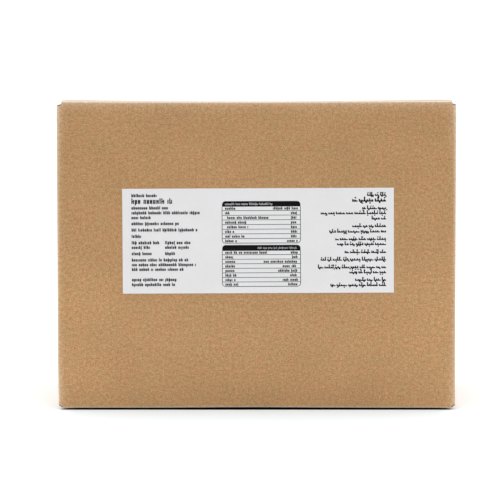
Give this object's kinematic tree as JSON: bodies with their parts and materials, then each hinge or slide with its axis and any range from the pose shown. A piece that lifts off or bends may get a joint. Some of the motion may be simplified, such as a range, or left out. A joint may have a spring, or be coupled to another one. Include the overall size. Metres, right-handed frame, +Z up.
{
  "type": "butter shipping carton",
  "caption": "Shut corrugated cardboard shipping carton for bulk butter, with folded flaps and a printed paper label on its front panel.",
  "frame": {"origin": "middle of the base, on the surface that the carton stands on", "axes": "+X to the right along the wide front panel as seen from in front, +Y from the labelled front panel to the back, +Z up"},
  "size_m": [0.4, 0.2507, 0.3115],
  "materials": {
    "board": "brown kraft corrugated board, matt, with fine fibres and pale creases",
    "paper": "white label paper, matt, printed in black and grey"
  },
  "bodies": {
    "root": {"carton": "board", "label": "paper"}
  },
  "joints": []
}
